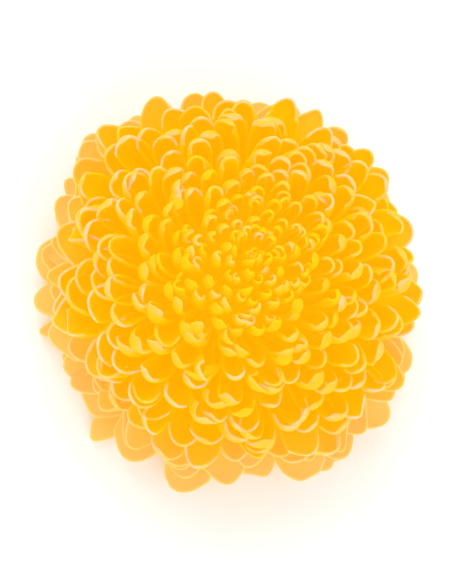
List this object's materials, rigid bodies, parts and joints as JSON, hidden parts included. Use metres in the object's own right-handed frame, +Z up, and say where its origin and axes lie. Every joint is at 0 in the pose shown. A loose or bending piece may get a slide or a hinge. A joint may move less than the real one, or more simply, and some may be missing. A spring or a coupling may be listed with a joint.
{
  "type": "preserved chrysanthemum head",
  "caption": "Preserved chrysanthemum head for arrangements: a dome of scooped ray florets, golden within and bleached at the rim, over green bracts and a stem cut flush.",
  "frame": {"origin": "middle of the cut end of the stem, under the middle of the head, on the plane the head rests on", "axes": "+Z up along the stem through the apex of the head; +X towards the first floret's side of the spiral; +Y completes a right-handed frame"},
  "size_m": [0.0562, 0.0542, 0.0387],
  "materials": {
    "floret": "preserved petal, soft and waxy, deep golden yellow with paler edges",
    "floret_bleached": "preserved petal, thinner and paler, washed-out apricot with faint veins",
    "bract": "preserved leaf, matt yellow-green",
    "stem": "preserved stalk, matt green, pale fibrous cut face"
  },
  "bodies": {
    "root": {"receptacle_and_cut_stem": "stem", "bract_01": "bract", "bract_02": "bract", "bract_03": "bract", "bract_04": "bract", "bract_05": "bract", "bract_06": "bract", "bract_07": "bract", "bract_08": "bract", "bract_09": "bract", "bract_10": "bract", "bract_11": "bract", "bract_12": "bract", "bract_13": "bract", "floret_whorl_01": "floret", "floret_whorl_02": "floret", "floret_whorl_03": "floret", "floret_whorl_04": "floret", "floret_whorl_05": "floret", "floret_whorl_06": "floret", "floret_whorl_07": "floret", "floret_whorl_08": "floret", "floret_whorl_09": "floret", "floret_whorl_10": "floret", "floret_whorl_11": "floret", "floret_whorl_12": "floret", "outer_floret_01": "floret_bleached", "outer_floret_02": "floret_bleached", "outer_floret_03": "floret_bleached", "outer_floret_04": "floret_bleached", "outer_floret_05": "floret_bleached", "outer_floret_06": "floret_bleached", "outer_floret_07": "floret_bleached", "outer_floret_08": "floret_bleached", "outer_floret_09": "floret_bleached", "outer_floret_10": "floret_bleached", "outer_floret_11": "floret_bleached", "outer_floret_12": "floret_bleached", "outer_floret_13": "floret_bleached", "outer_floret_14": "floret_bleached", "outer_floret_15": "floret_bleached", "outer_floret_16": "floret_bleached", "outer_floret_17": "floret_bleached", "outer_floret_18": "floret_bleached", "outer_floret_19": "floret_bleached", "outer_floret_20": "floret_bleached", "outer_floret_21": "floret_bleached", "outer_floret_22": "floret_bleached", "outer_floret_23": "floret_bleached", "outer_floret_24": "floret_bleached", "outer_floret_25": "floret_bleached", "outer_floret_26": "floret_bleached", "outer_floret_27": "floret_bleached", "outer_floret_28": "floret_bleached", "outer_floret_29": "floret_bleached", "outer_floret_30": "floret_bleached", "outer_floret_31": "floret_bleached", "outer_floret_32": "floret_bleached", "outer_floret_33": "floret_bleached", "outer_floret_34": "floret_bleached"}
  },
  "joints": []
}
